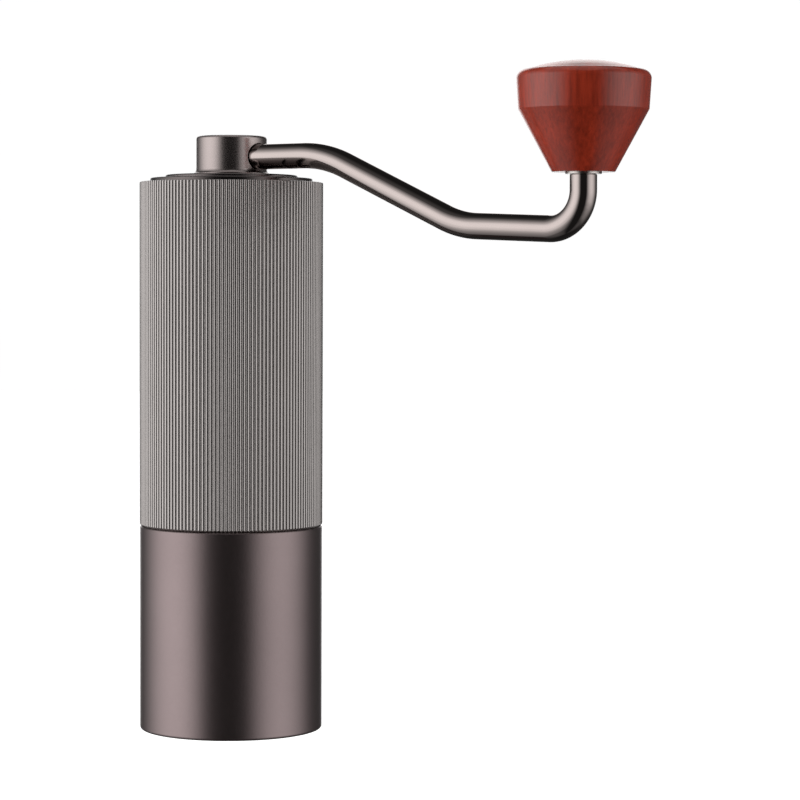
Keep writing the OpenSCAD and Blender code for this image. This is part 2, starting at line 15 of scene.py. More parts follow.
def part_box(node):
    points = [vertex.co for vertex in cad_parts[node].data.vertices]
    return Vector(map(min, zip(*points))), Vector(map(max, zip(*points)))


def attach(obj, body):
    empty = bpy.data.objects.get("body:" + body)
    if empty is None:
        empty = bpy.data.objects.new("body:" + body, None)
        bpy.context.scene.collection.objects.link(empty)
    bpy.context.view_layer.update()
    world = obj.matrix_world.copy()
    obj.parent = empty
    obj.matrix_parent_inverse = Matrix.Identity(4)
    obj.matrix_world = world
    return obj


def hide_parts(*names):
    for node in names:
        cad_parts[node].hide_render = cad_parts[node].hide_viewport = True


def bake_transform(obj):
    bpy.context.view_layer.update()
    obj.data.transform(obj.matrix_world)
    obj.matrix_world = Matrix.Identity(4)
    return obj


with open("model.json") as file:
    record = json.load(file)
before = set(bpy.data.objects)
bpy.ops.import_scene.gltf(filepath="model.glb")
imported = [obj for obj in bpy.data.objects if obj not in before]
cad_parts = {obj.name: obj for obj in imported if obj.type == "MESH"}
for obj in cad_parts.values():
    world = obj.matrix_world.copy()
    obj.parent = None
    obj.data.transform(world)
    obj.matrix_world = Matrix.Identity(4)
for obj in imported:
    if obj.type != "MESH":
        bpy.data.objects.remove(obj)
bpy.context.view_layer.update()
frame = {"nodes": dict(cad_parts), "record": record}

bl_info = {
    "name": "Hand Grinder",
    "version": (1, 0, 0),
    "blender": (4, 5, 0),
    "location": "View3D > Sidebar > Hand Grinder",
    "description": "Builds the finished surfaces of a hand crank coffee grinder on its CAD frame",
    "category": "Object",
}

MM = 0.001
TAU = 2 * math.pi
SHARP_ANGLE = math.radians(32)
ARC_STEPS = 5
# Factor inside Blender's wave texture
WAVE_SCALE = 20
# Heat, plating and handling stains are this many times wider than the marks of the making
STAIN_TO_MARK = 14
# The floor lies just under the lowest place that the unscrewed cup comes down to
FLOOR_DROP = 0.0245
# Radius of the floor and of the background dome, and the place and size of the overhead diffuser
FLOOR_R = 3
BACKGROUND_R = 8
OVERHEAD_Z = 1.9
OVERHEAD_SIZE = 2.4
SENSOR_MM = 36
# The cup's thread has two starts, so that one turn moves the cup by two pitches
THREAD_STARTS = 2


def span(node):
    """Lowest and highest corner of a CAD node, in millimetres."""
    low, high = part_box(node)
    return low / MM, high / MM


def linear(hex_colour):
    """An sRGB hex colour as linear red, green, blue and alpha."""
    parts = [int(hex_colour[i:i + 2], 16) / 255 for i in (1, 3, 5)]
    return [p / 12.92 if p <= 0.04045 else ((p + 0.055) / 1.055) ** 2.4 for p in parts] + [1.0]


# Sizes that the frame gives, in millimetres

BODY_LOW, BODY_HIGH = span("grip_body")
CUP_HIGH = span("catch_cup")[1]
LID_LOW, LID_HIGH = span("lid")
SEAL_LOW, SEAL_HIGH = span("cup_seal")
ARM_LOW, ARM_HIGH = span("crank_arm")
HUB_LOW, HUB_HIGH = span("crank_hub")
KNOB_LOW, KNOB_HIGH = span("knob")
SLEEVE_LOW, SLEEVE_HIGH = span("knob_sleeve")
CAP_LOW, CAP_HIGH = span("knob_cap")
SPRING_LOW, SPRING_HIGH = span("burr_spring")
BODY_R = BODY_HIGH.x
RIM_Z = BODY_HIGH.z
NECK_Z = BODY_LOW.z
SEAM_Z = CUP_HIGH.z + 0.1
BODY_RADII = {
    "rim": LID_HIGH.x + 0.2,
    "plug": span("top_bracket")[1].x + 0.01,
    "low": span("burr_carrier")[1].x + 0.01,
}
LEDGES = {
    "lid": LID_HIGH.z - 3.2,
    "top": span("top_bracket")[0].z,
    "low": span("bottom_bracket")[1].z,
}
# Room over and under a seal in its groove
SEAL_GAP = 0.2
# Depth of the crank rod's axis under the top of the hub
ROD_UNDER_TOP = 6
KNOB_X = (KNOB_LOW.x + KNOB_HIGH.x) / 2
KNOB_R = (KNOB_HIGH.x - KNOB_LOW.x) / 2


# Settings that a user would change


class GrinderBody(bpy.types.PropertyGroup):
    """Sizes of the fluted body and the cup."""

    flutes: bpy.props.IntProperty(
        name="Flutes", description="Number of straight flutes round the body", default=144, min=96, max=168
    )
    flute_depth: bpy.props.FloatProperty(
        name="Flute depth", description="Depth of a flute", default=0.36 * MM, min=0.1 * MM, max=0.6 * MM,
        precision=5, unit="LENGTH",
    )
    hopper: bpy.props.FloatProperty(
        name="Hopper bore", description="Diameter of the bean hopper", default=40.5 * MM, unit="LENGTH"
    )
    cup_bore: bpy.props.FloatProperty(
        name="Cup bore", description="Inside diameter of the catch cup", default=46.9 * MM, unit="LENGTH"
    )
    cup_floor: bpy.props.FloatProperty(
        name="Cup floor", description="Thickness of the catch cup's floor", default=3 * MM, unit="LENGTH"
    )
    thread_pitch: bpy.props.FloatProperty(
        name="Thread pitch", description="Pitch of the cup's thread", default=2 * MM, unit="LENGTH"
    )


class GrinderCrank(bpy.types.PropertyGroup):
    """Sizes of the crank rod and the knob."""

    rod: bpy.props.FloatProperty(
        name="Rod", description="Diameter of the crank rod", default=7.2 * MM, unit="LENGTH"
    )
    knob_foot: bpy.props.FloatProperty(
        name="Knob foot", description="Diameter of the knob's underside", default=16.5 * MM, unit="LENGTH"
    )
    knob_band: bpy.props.FloatProperty(
        name="Knob band", description="Height of the knob where its cone meets the band",
        default=16.2 * MM, unit="LENGTH",
    )
    knob_edge: bpy.props.FloatProperty(
        name="Knob edge", description="Rounding of the knob's upper edge", default=2.3 * MM, unit="LENGTH"
    )
    knob_dome: bpy.props.FloatProperty(
        name="Knob dome", description="Height of the dome on the knob", default=2.5 * MM, unit="LENGTH"
    )


class GrinderFinish(bpy.types.PropertyGroup):
    """Colours of the finishes."""

    body: bpy.props.FloatVectorProperty(
        name="Body dye", description="Colour of the anodised body", subtype="COLOR", size=4,
        default=linear("#a19c9a"), min=0, max=1,
    )
    cup: bpy.props.FloatVectorProperty(
        name="Cup dye", description="Colour of the anodised cup", subtype="COLOR", size=4,
        default=linear("#7f7272"), min=0, max=1,
    )
    plating: bpy.props.FloatVectorProperty(
        name="Rod plating", description="Colour of the plated crank rod", subtype="COLOR", size=4,
        default=linear("#9b918e"), min=0, max=1,
    )
    stain: bpy.props.FloatVectorProperty(
        name="Wood stain", description="Middle colour of the stained knob", subtype="COLOR", size=4,
        default=linear("#a8341c"), min=0, max=1,
    )


class GrinderStudio(bpy.types.PropertyGroup):
    """Camera and lights."""

    azimuth: bpy.props.FloatProperty(
        name="Azimuth", description="Direction of the camera round the body, from -Y towards +X",
        default=math.radians(40), subtype="ANGLE",
    )
    distance: bpy.props.FloatProperty(
        name="Distance", description="Distance of the camera from the body's axis", default=0.817,
        unit="LENGTH",
    )
    height: bpy.props.FloatProperty(
        name="Height", description="Height of the camera", default=0.129, unit="LENGTH"
    )
    pan: bpy.props.FloatProperty(
        name="Pan", description="Turn of the camera to the right of the body's axis",
        default=math.radians(3.37), subtype="ANGLE",
    )
    tilt: bpy.props.FloatProperty(
        name="Tilt", description="Tilt of the camera below the horizon", default=math.radians(2.47),
        subtype="ANGLE",
    )
    roll: bpy.props.FloatProperty(
        name="Roll", description="Roll of the camera", default=math.radians(0.2), subtype="ANGLE"
    )
    lens: bpy.props.FloatProperty(
        name="Lens", description="Focal length in millimetres", default=129, min=20, max=300, unit="CAMERA"
    )
    softbox: bpy.props.FloatProperty(
        name="Softboxes", description="Radiance at the middle of the left softbox", default=2.6,
        min=0, max=20,
    )
    backdrop: bpy.props.FloatProperty(
        name="Backdrop", description="Radiance of the paper behind the object", default=2.0, min=0, max=20
    )
    overhead: bpy.props.FloatProperty(
        name="Overhead", description="Radiance of the overhead diffuser", default=0.6, min=0, max=20
    )
    ambient: bpy.props.FloatProperty(
        name="Ambient", description="Radiance of the dark studio round the lights", default=0.03,
        min=0, max=5,
    )


# Mesh code


def rounded(corners, steps=ARC_STEPS):
    """Closed outline through corners of (radius, height, fillet), each fillet drawn as an arc."""
    points = []
    for i, (r, z, fillet) in enumerate(corners):
        here = Vector((r, z))
        if not fillet:
            points.append(here)
            continue
        before = Vector(corners[i - 1][:2]) - here
        after = Vector(corners[(i + 1) % len(corners)][:2]) - here
        half = before.angle(after) / 2
        cut = min(fillet / math.tan(half), before.length * 0.49, after.length * 0.49)
        middle = (before.normalized() + after.normalized()).normalized()
        centre = here + middle * cut / math.cos(half)
        start = here + before.normalized() * cut - centre
        end = here + after.normalized() * cut - centre
        sweep = math.atan2(start.x * end.y - start.y * end.x, start.dot(end))
        for k in range(steps + 1):
            a = sweep * k / steps
            turn = Vector((
                start.x * math.cos(a) - start.y * math.sin(a),
                start.x * math.sin(a) + start.y * math.cos(a),
            ))
            points.append(centre + turn)
    return points


def even_angles(steps):
    """Equal steps round a full turn."""
    return [TAU * k / steps for k in range(steps)]


def turned(outline, angles, centre=(0, 0), shape=None):
    """Mesh turned from a closed outline of (radius, height). shape moves a radius in or out."""
    bm = bmesh.new()
    rings = []
    for r, z in outline:
        if r < 1e-6:
            rings.append([bm.verts.new((centre[0] * MM, centre[1] * MM, z * MM))])
            continue
        ring = []
        for a in angles:
            at = shape(a, r, z) if shape else r
            ring.append(bm.verts.new((
                (centre[0] + at * math.cos(a)) * MM, (centre[1] + at * math.sin(a)) * MM, z * MM
            )))
        rings.append(ring)
    count = len(angles)
    for low, high in zip(rings, rings[1:] + rings[:1]):
        if len(low) == 1 and len(high) == 1:
            continue
        for k in range(count):
            n = (k + 1) % count
            corners = [low[k % len(low)], low[n % len(low)], high[n % len(high)], high[k % len(high)]]
            bm.faces.new(list(dict.fromkeys(corners)))
    return bm


def swept(stations, radius, sides):
    """Mesh tube through stations of (point, heading) in millimetres, round in section."""
    bm = bmesh.new()
    rings = []
    up = None
    for point, heading in stations:
        ahead = Vector(heading).normalized()
        if up is None:
            up = ahead.orthogonal().normalized()
        up = (up - ahead * up.dot(ahead)).normalized()
        side = ahead.cross(up)
        r = radius(len(rings)) if callable(radius) else radius
        rings.append([
            bm.verts.new((Vector(point) + (up * math.cos(a) + side * math.sin(a)) * r) * MM)
            for a in even_angles(sides)
        ])
    for low, high in zip(rings, rings[1:]):
        for k in range(sides):
            n = (k + 1) % sides
            bm.faces.new((low[k], low[n], high[n], high[k]))
    bm.faces.new(rings[0][::-1])
    bm.faces.new(rings[-1])
    return bm


def drill(start, heading, profile):
    """A cutter round a line, through steps of (distance, radius) in millimetres."""
    ahead = Vector(heading)
    stations = [(Vector(start) + ahead * at, ahead) for at, _ in profile]
    bm = swept(stations, lambda k: profile[k][1], 96)
    bmesh.ops.recalc_face_normals(bm, faces=bm.faces)
    mesh = bpy.data.meshes.new("drill")
    bm.to_mesh(mesh)
    bm.free()
    obj = bpy.data.objects.new("drill", mesh)
    bpy.context.scene.collection.objects.link(obj)
    return obj


def settle(obj):
    """Applies an object's modifiers and marks its sharp edges again."""
    seen = bpy.context.evaluated_depsgraph_get()
    mesh = bpy.data.meshes.new_from_object(obj.evaluated_get(seen))
    obj.modifiers.clear()
    bm = bmesh.new()
    bm.from_mesh(mesh)
    bmesh.ops.dissolve_degenerate(bm, dist=1e-7, edges=bm.edges)
    soften(bm)
    bm.to_mesh(mesh)
    bm.free()
    obj.data = mesh
    even_shading(obj)


def soften(bm):
    """Smooth faces with the sharp edges kept sharp."""
    for face in bm.faces:
        face.smooth = True
    for edge in bm.edges:
        edge.smooth = edge.calc_face_angle(0) < SHARP_ANGLE


def even_shading(obj):
    """Normals that follow the large faces, so that small fillets catch the light cleanly."""
    even = obj.modifiers.new("even_shading", "WEIGHTED_NORMAL")
    even.keep_sharp = True


def piece(name, bm, body, material, nodes=(), weighted=True):
    """Turns a mesh into a piece that rides on a body, if one is named, and stands for CAD nodes."""
    bmesh.ops.recalc_face_normals(bm, faces=bm.faces)
    soften(bm)
    mesh = bpy.data.meshes.new(name)
    bm.to_mesh(mesh)
    bm.free()
    obj = bpy.data.objects.new(name, mesh)
    bpy.context.scene.collection.objects.link(obj)
    mesh.materials.append(material)
    if weighted:
        even_shading(obj)
    if body:
        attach(obj, body)
    if nodes:
        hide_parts(*nodes)
    return obj


def thread(angle, height, pitch, low, high, fade=0.8):
    """Height of a rounded thread from 0 to 1, fading out at both ends."""
    phase = (height / pitch - THREAD_STARTS * angle / TAU) % 1
    crest = min(max(1.6 - abs(phase - 0.5) * 4.4, 0), 1)
    ends = min(max((height - low) / fade, 0), 1) * min(max((high - height) / fade, 0), 1)
    return crest * crest * (3 - 2 * crest) * ends


# Materials


def add(tree, kind, inputs, **settings):
    """Adds a node with its settings, and sets or links its inputs."""
    node = tree.nodes.new(kind)
    for key, value in settings.items():
        setattr(node, key, value)
    for key, value in inputs.items():
        if isinstance(value, bpy.types.NodeSocket):
            tree.links.new(value, node.inputs[key])
        else:
            node.inputs[key].default_value = value
    return node


def blank(name):
    """A new material with only its output and shader, and the object's own coordinates."""
    material = bpy.data.materials.new(name)
    material.use_nodes = True
    tree = material.node_tree
    tree.nodes.clear()
    shader = add(tree, "ShaderNodeBsdfPrincipled", {})
    add(tree, "ShaderNodeOutputMaterial", {"Surface": shader.outputs["BSDF"]})
    place = add(tree, "ShaderNodeTexCoord", {}).outputs["Object"]
    return material, tree, shader, place


def per_mm(size_mm):
    """Texture scale at which one feature measures that many millimetres."""
    return 1 / (size_mm * MM)


def shade(colour, factor):
    """A colour made lighter or darker."""
    return [min(c * factor, 1) for c in list(colour)[:3]] + [1.0]


def blasted_anodised(name, colour, roughness, grit_mm, grit_depth_mm, clouds_mm):
    """Dyed anodised aluminium, bead blasted first: a satin metal whose reflections have grainy edges.

    Real blasting leaves grit of about 0.1 mm. It is drawn four times coarser, so that it shows.
    """
    material, tree, shader, place = blank(name)
    grit = add(tree, "ShaderNodeTexNoise", {"Vector": place, "Scale": per_mm(grit_mm), "Detail": 2.0})
    clouds = add(tree, "ShaderNodeTexNoise", {"Vector": place, "Scale": per_mm(clouds_mm), "Detail": 3.0})
    dye = add(tree, "ShaderNodeMix", {
        "Factor": clouds.outputs["Fac"], 6: shade(colour, 0.94), 7: shade(colour, 1.06),
    }, data_type="RGBA")
    satin = add(tree, "ShaderNodeMapRange", {
        "Value": grit.outputs["Fac"], "From Min": 0.3, "From Max": 0.7,
        "To Min": roughness - 0.03, "To Max": roughness + 0.03,
    })
    dimples = add(tree, "ShaderNodeBump", {
        "Height": grit.outputs["Fac"], "Strength": 0.4, "Distance": grit_depth_mm * MM,
    })
    shader.inputs["Metallic"].default_value = 1
    tree.links.new(dye.outputs[2], shader.inputs["Base Color"])
    tree.links.new(satin.outputs["Result"], shader.inputs["Roughness"])
    tree.links.new(dimples.outputs["Normal"], shader.inputs["Normal"])
    return material


def plated_rod(colour):
    """Polished steel under black nickel: a dark warm mirror with the faintest polishing haze.

    Polishing leaves lines under 0.05 mm apart. They are drawn coarser, so that they show, and a small
    scale along X draws them out along the rod.
    """
    material, tree, shader, place = blank("polished_black_nickel_steel")
    haze = add(tree, "ShaderNodeTexNoise", {"Vector": place, "Scale": per_mm(5), "Detail": 4.0})
    along_rod = add(tree, "ShaderNodeMapping", {"Vector": place, "Scale": (0.05, 1, 1)})
    lines = add(tree, "ShaderNodeTexNoise", {
        "Vector": along_rod.outputs["Vector"], "Scale": per_mm(0.3), "Detail": 2.0,
    })
    tone = add(tree, "ShaderNodeMix", {
        "Factor": haze.outputs["Fac"], 6: shade(colour, 0.96), 7: shade(colour, 1.04),
    }, data_type="RGBA")
    gloss = add(tree, "ShaderNodeMapRange", {
        "Value": haze.outputs["Fac"], "From Min": 0.3, "From Max": 0.7, "To Min": 0.055, "To Max": 0.1,
    })
    buffing = add(tree, "ShaderNodeBump", {
        "Height": lines.outputs["Fac"], "Strength": 0.08, "Distance": 0.002 * MM,
    })
    shader.inputs["Metallic"].default_value = 1
    tree.links.new(tone.outputs[2], shader.inputs["Base Color"])
    tree.links.new(gloss.outputs["Result"], shader.inputs["Roughness"])
    tree.links.new(buffing.outputs["Normal"], shader.inputs["Normal"])
    return material


def turned_metal(name, colour, roughness, line_mm, axis_x=0.0):
    """Metal off the lathe: fine rings round its axis that stretch each highlight.

    A lathe's feed is under 0.1 mm, so the lines are drawn coarser than that to show. The wave texture
    puts its rings TAU line widths apart at this scale, as the slower chatter that lies over the feed.
    """
    material, tree, shader, place = blank(name)
    local = add(tree, "ShaderNodeMapping", {"Vector": place, "Location": (-axis_x * MM, 0, 0)})
    rings = add(tree, "ShaderNodeTexWave", {
        "Vector": local.outputs["Vector"], "Scale": per_mm(line_mm) / WAVE_SCALE, "Distortion": 0.6,
        "Detail": 2.0, "Detail Scale": 2.0,
    }, wave_type="RINGS", rings_direction="Z")
    flat = add(tree, "ShaderNodeMapping", {"Vector": place, "Scale": (0.06, 0.06, 1)})
    feed = add(tree, "ShaderNodeTexNoise", {
        "Vector": flat.outputs["Vector"], "Scale": per_mm(line_mm), "Detail": 3.0,
    })
    both = add(tree, "ShaderNodeMix", {
        "Factor": 0.5, 2: rings.outputs["Fac"], 3: feed.outputs["Fac"],
    })
    tone = add(tree, "ShaderNodeMix", {
        "Factor": feed.outputs["Fac"], 6: shade(colour, 0.88), 7: shade(colour, 1.1),
    }, data_type="RGBA")
    gloss = add(tree, "ShaderNodeMapRange", {
        "Value": both.outputs[0], "To Min": roughness - 0.06, "To Max": roughness + 0.08,
    })
    marks = add(tree, "ShaderNodeBump", {
        "Height": both.outputs[0], "Strength": 0.25, "Distance": 0.005 * MM,
    })
    shader.inputs["Metallic"].default_value = 1
    tree.links.new(tone.outputs[2], shader.inputs["Base Color"])
    tree.links.new(gloss.outputs["Result"], shader.inputs["Roughness"])
    tree.links.new(marks.outputs["Normal"], shader.inputs["Normal"])
    return material


def worked_metal(name, colour, roughness, mark_mm, mark_depth_mm, spread):
    """Hardened, plated, drawn or polished metal: uneven marks of the size its making leaves."""
    material, tree, shader, place = blank(name)
    marks = add(tree, "ShaderNodeTexNoise", {"Vector": place, "Scale": per_mm(mark_mm), "Detail": 5.0})
    stains = add(tree, "ShaderNodeTexNoise", {
        "Vector": place, "Scale": per_mm(mark_mm * STAIN_TO_MARK), "Detail": 2.0,
    })
    tone = add(tree, "ShaderNodeMix", {
        "Factor": stains.outputs["Fac"], 6: shade(colour, 1 - spread), 7: shade(colour, 1 + spread),
    }, data_type="RGBA")
    gloss = add(tree, "ShaderNodeMapRange", {
        "Value": marks.outputs["Fac"], "From Min": 0.3, "From Max": 0.7,
        "To Min": roughness * 0.8, "To Max": roughness * 1.3,
    })
    relief = add(tree, "ShaderNodeBump", {
        "Height": marks.outputs["Fac"], "Strength": 0.4, "Distance": mark_depth_mm * MM,
    })
    shader.inputs["Metallic"].default_value = 1
    tree.links.new(tone.outputs[2], shader.inputs["Base Color"])
    tree.links.new(gloss.outputs["Result"], shader.inputs["Roughness"])
    tree.links.new(relief.outputs["Normal"], shader.inputs["Normal"])
    return material


def stained_beech(colour):
    """Turned beech, stained red and lacquered: fine upright streaks and flecks under a satin coat."""
    material, tree, shader, place = blank("turned_beech_red_stain_satin_lacquer")
    upright = add(tree, "ShaderNodeMapping", {"Vector": place, "Scale": (1, 1, 0.08)}).outputs["Vector"]
    figure = add(tree, "ShaderNodeTexNoise", {"Vector": upright, "Scale": per_mm(5), "Detail": 3.0})
    streaks = add(tree, "ShaderNodeTexNoise", {
        "Vector": upright, "Scale": per_mm(0.8), "Detail": 4.0, "Roughness": 0.6,
    })
    rays = add(tree, "ShaderNodeMapping", {"Vector": place, "Scale": (1, 1, 0.2)}).outputs["Vector"]
    flecks = add(tree, "ShaderNodeTexNoise", {"Vector": rays, "Scale": per_mm(0.5), "Detail": 1.0})
    blend = add(tree, "ShaderNodeMix", {
        "Factor": 0.5, 2: figure.outputs["Fac"], 3: streaks.outputs["Fac"],
    })
    stain = add(tree, "ShaderNodeValToRGB", {"Fac": blend.outputs[0]})
    ramp = stain.color_ramp
    ramp.elements[0].position = 0.34
    ramp.elements[0].color = shade(colour, 0.62)
    ramp.elements[1].position = 0.66
    ramp.elements[1].color = shade(colour, 1.35)
    ramp.elements.new(0.5).color = shade(colour, 1)
    pores = add(tree, "ShaderNodeMapRange", {
        "Value": flecks.outputs["Fac"], "From Min": 0.28, "From Max": 0.42, "To Min": 0.7, "To Max": 1.0,
    })
    wood = add(tree, "ShaderNodeMix", {
        "Factor": pores.outputs["Result"], 6: shade(colour, 0.45), 7: stain.outputs["Color"],
    }, data_type="RGBA")
    satin = add(tree, "ShaderNodeMapRange", {
        "Value": streaks.outputs["Fac"], "From Min": 0.3, "From Max": 0.7, "To Min": 0.36, "To Max": 0.5,
    })
    relief = add(tree, "ShaderNodeBump", {
        "Height": pores.outputs["Result"], "Strength": 0.2, "Distance": 0.015 * MM,
    })
    shader.inputs["Specular IOR Level"].default_value = 0.15
    shader.inputs["Coat Weight"].default_value = 0.75
    shader.inputs["Coat Roughness"].default_value = 0.2
    tree.links.new(wood.outputs[2], shader.inputs["Base Color"])
    tree.links.new(satin.outputs["Result"], shader.inputs["Roughness"])
    tree.links.new(relief.outputs["Normal"], shader.inputs["Normal"])
    return material


def moulded(name, colour, roughness, speck_mm, depth_mm):
    """Moulded rubber or machined acetal: an even matt skin with a fine tooth."""
    material, tree, shader, place = blank(name)
    tooth = add(tree, "ShaderNodeTexNoise", {"Vector": place, "Scale": per_mm(speck_mm), "Detail": 3.0})
    tone = add(tree, "ShaderNodeMix", {
        "Factor": tooth.outputs["Fac"], 6: shade(colour, 0.85), 7: shade(colour, 1.12),
    }, data_type="RGBA")
    skin = add(tree, "ShaderNodeMapRange", {
        "Value": tooth.outputs["Fac"], "To Min": roughness - 0.08, "To Max": roughness + 0.08,
    })
    relief = add(tree, "ShaderNodeBump", {
        "Height": tooth.outputs["Fac"], "Strength": 0.3, "Distance": depth_mm * MM,
    })
    tree.links.new(tone.outputs[2], shader.inputs["Base Color"])
    tree.links.new(skin.outputs["Result"], shader.inputs["Roughness"])
    tree.links.new(relief.outputs["Normal"], shader.inputs["Normal"])
    return material


def finish(slot):
    """The finish of a record slot, made once."""
    colours = bpy.context.scene.grinder_finish
    makers = {
        # blasted lightly before anodising, so the flutes stay crisp and satin
        "body_aluminium": lambda: blasted_anodised(
            "blasted_anodised_body", colours.body, 0.28, 0.45, 0.001, 14
        ),
        # the same dye on a plain turned surface, which shows its reflections as tall soft bands
        "cup_aluminium": lambda: blasted_anodised(
            "blasted_anodised_cup", colours.cup, 0.32, 0.5, 0.03, 20
        ),
        # cut from bar and left bright, with the cutter's rings
        "bracket_aluminium": lambda: turned_metal("turned_bright_aluminium", linear("#b9babc"), 0.3, 0.3),
        # the hub takes the dye lighter, over a finer blast
        "hub_aluminium": lambda: blasted_anodised(
            "blasted_anodised_hub", linear("#978d8b"), 0.27, 0.4, 0.016, 12
        ),
        # the lid is dyed deeper and nearly neutral
        "lid_aluminium": lambda: blasted_anodised(
            "blasted_anodised_lid", linear("#5c5655"), 0.26, 0.4, 0.01, 12
        ),
        # a turned steel nut, chemically blackened: dark, with worn lathe rings
        "dial_steel": lambda: turned_metal("turned_blackened_steel", linear("#4a4746"), 0.34, 0.35),
        "rod_steel": lambda: plated_rod(colours.plating),
        # the bush is turned and left bright where it shows under the knob
        "sleeve_steel": lambda: turned_metal(
            "turned_bright_steel", linear("#b4afab"), 0.24, 0.2, KNOB_X
        ),
        # centreless ground bar: fine rings, nearly a mirror
        "shaft_steel": lambda: turned_metal("ground_shaft_steel", linear("#b3b4b6"), 0.18, 0.12),
        # hardened and ground, with faint heat staining
        "burr_steel": lambda: worked_metal(
            "hardened_burr_steel", linear("#9c9b9a"), 0.26, 0.18, 0.01, 0.12
        ),
        # lapped and polished races and balls
        "bearing_steel": lambda: worked_metal(
            "lapped_bearing_steel", linear("#c4c5c7"), 0.1, 0.3, 0.001, 0.04
        ),
        # zinc plated: pale, slightly blotchy
        "fastener_steel": lambda: worked_metal(
            "zinc_plated_steel", linear("#a5a6a6"), 0.3, 0.25, 0.006, 0.1
        ),
        # drawn and tempered wire: dull grey with scuffs
        "spring_steel": lambda: worked_metal(
            "drawn_spring_wire", linear("#8f9092"), 0.28, 0.15, 0.005, 0.08
        ),
        # pressed from strip: warm yellow, softly mottled
        "cage_brass": lambda: worked_metal(
            "pressed_brass_strip", linear("#c39a55"), 0.26, 0.3, 0.006, 0.1
        ),
        # machined acetal: waxy off-white
        "bush_plastic": lambda: moulded("machined_acetal", linear("#dddad2"), 0.42, 0.3, 0.01),
        # moulded nitrile: near black and matt
        "seal_rubber": lambda: moulded("moulded_nitrile_rubber", linear("#1c1b1b"), 0.62, 0.25, 0.015),
        "knob_wood": lambda: stained_beech(colours.stain),
    }
    if slot not in FINISHES:
        FINISHES[slot] = makers[slot]()
    return FINISHES[slot]


FINISHES = {}


# Pieces


class GRINDER_OT_fluted_body(bpy.types.Operator):
    """Turn the fluted grip body with its bores and threaded neck"""

    bl_idname = "grinder.fluted_body"
    bl_label = "Fluted body"

    def execute(self, context):
        sizes = context.scene.grinder_body
        count, depth = sizes.flutes, sizes.flute_depth / MM
        pitch = sizes.thread_pitch / MM
        hopper_r = sizes.hopper / MM / 2
        neck_core, ridge, shoulder_r = 22.7, 0.4, 23.3
        thread_low, thread_high, relief = NECK_Z + 0.4, SEAM_Z - 4, 3.5
        pitch_mm = TAU * BODY_R / count
        # a rib's round crest reaches this share of the pitch to each side, and straight flanks follow
        rib_r, flank = 0.66 * pitch_mm, 0.4
        flank_depth = rib_r - math.sqrt(rib_r ** 2 - (flank * pitch_mm) ** 2)

        def flute(angle):
            phase = abs((angle / TAU * count + 0.5) % 1 - 0.5)
            if phase <= flank:
                return rib_r - math.sqrt(rib_r ** 2 - (phase * pitch_mm) ** 2)
            return flank_depth + (depth - flank_depth) * (phase - flank) / (0.5 - flank)

        def shape(angle, r, z):
            if z > SEAM_Z - 0.01 and r > BODY_R - 1:
                return min(r, BODY_R - flute(angle))
            if abs(r - neck_core) < 0.01:
                return r + ridge * thread(angle, z, pitch, thread_low, thread_high)
            return r

        rows = 44
        neck_low = NECK_Z + 0.3
        neck = [(neck_core, neck_low + (thread_high - neck_low) * k / rows, 0) for k in range(rows + 1)]
        corners = [
            (BODY_RADII["low"], NECK_Z, 0.15), (neck_core - 0.3, NECK_Z, 0), *neck,
            (shoulder_r, SEAM_Z - relief, 0), (shoulder_r, SEAM_Z, 0.1),
            (BODY_R - 0.55, SEAM_Z, 0.05), (BODY_R, SEAM_Z + 0.55, 0), (BODY_R, RIM_Z - 0.32, 0),
            (BODY_R - 0.1, RIM_Z - 0.12, 0), (BODY_R - 0.32, RIM_Z, 0),
            (BODY_RADII["rim"], RIM_Z, 0.2), (BODY_RADII["rim"], LEDGES["lid"], 0.1),
            (BODY_RADII["plug"], LEDGES["lid"], 0.25), (BODY_RADII["plug"], LEDGES["top"], 0.2),
            (hopper_r, LEDGES["top"], 0.25), (hopper_r, LEDGES["low"], 0.15),
            (BODY_RADII["low"], LEDGES["low"], 0.15),
        ]
        phases = (-flank, -0.3, -0.2, -0.1, 0, 0.1, 0.2, 0.3, flank, 0.5)
        angles = [TAU * (i + p) / count for i in range(count) for p in phases]
        bm = turned(rounded(corners, 3), angles, shape=shape)
        piece("fluted_body", bm, "root", finish("body_aluminium"), ["grip_body"])
        return {"FINISHED"}


class GRINDER_OT_catch_cup(bpy.types.Operator):
    """Turn the catch cup with its thread and seal groove"""

    bl_idname = "grinder.catch_cup"
    bl_label = "Catch cup"

    def execute(self, context):
        sizes = context.scene.grinder_body
        bore_r = sizes.cup_bore / MM / 2
        floor = sizes.cup_floor / MM
        pitch = sizes.thread_pitch / MM
        outer_r, top = CUP_HIGH.x, CUP_HIGH.z
        groove_r = SEAL_HIGH.x + 0.03
        groove = (SEAL_LOW.z - SEAL_GAP, SEAL_HIGH.z + SEAL_GAP)
        thread_low, thread_high = NECK_Z - 1, groove[0] - 1
        root = 0.4

        def shape(angle, r, z):
            if abs(r - bore_r) < 0.001 and thread_low < z < thread_high:
                return r + root * thread(angle, z, pitch, thread_low, thread_high)
            return r

        rows = 52
        threads = [
            (bore_r, thread_high - (thread_high - thread_low) * k / rows, 0) for k in range(rows + 1)
        ]
        corners = [
            (0, 0, 0), (outer_r, 0, 0.8), (outer_r, top, 0.45), (bore_r, top, 0.2),
            (bore_r, groove[1], 0.1), (groove_r, groove[1], 0.15), (groove_r, groove[0], 0.15),
            (bore_r, groove[0], 0.1), *threads, (bore_r, floor, 1.6), (0, floor, 0),
        ]
        bm = turned(rounded(corners, 6), even_angles(288), shape=shape)
        piece("threaded_cup", bm, "cup", finish("cup_aluminium"), ["catch_cup"])
        return {"FINISHED"}


